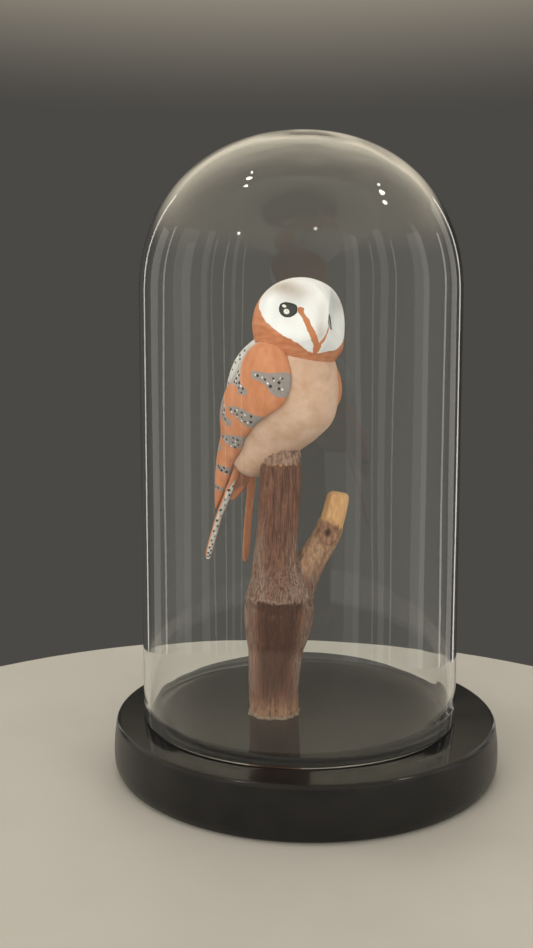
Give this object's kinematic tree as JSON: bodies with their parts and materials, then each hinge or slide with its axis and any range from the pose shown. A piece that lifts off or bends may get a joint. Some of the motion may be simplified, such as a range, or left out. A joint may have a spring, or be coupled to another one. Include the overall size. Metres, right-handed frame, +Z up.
{
  "type": "painted owl figurine under a glass dome",
  "caption": "Hand-painted barn owl figurine set on a forked twig, on a black turned base under a clear glass dome that lifts off.",
  "frame": {"origin": "centre of the base's underside, on the surface it stands on", "axes": "+Z up along the base's axis; -Y towards the side it is viewed from; the owl faces between +X and -Y"},
  "size_m": [0.17, 0.17, 0.2718],
  "materials": {
    "base_black": "satin black paint on turned wood, glossier on the raised disc",
    "dome_glass": "clear blown glass",
    "twig_wood": "bark, bare at the cut ends",
    "head_paint": "white and orange hand paint with painted eyes",
    "body_paint": "cream hand paint, grey with dots on the back",
    "wing_paint": "orange hand paint with grey dotted patches",
    "tail_paint": "orange hand paint, grey with dots on one prong"
  },
  "bodies": {
    "stand": {"base": "base_black", "perch_branch": "twig_wood", "owl_head": "head_paint", "owl_trunk": "body_paint", "owl_wing_right": "wing_paint", "owl_wing_left": "wing_paint", "owl_tail": "tail_paint"},
    "dome": {"glass_dome": "dome_glass"}
  },
  "joints": [
    {"name": "dome_lift", "type": "slide", "parent": "stand", "child": "dome", "axis": [0, 0, 1], "range_m": [0, 0.2]}
  ]
}
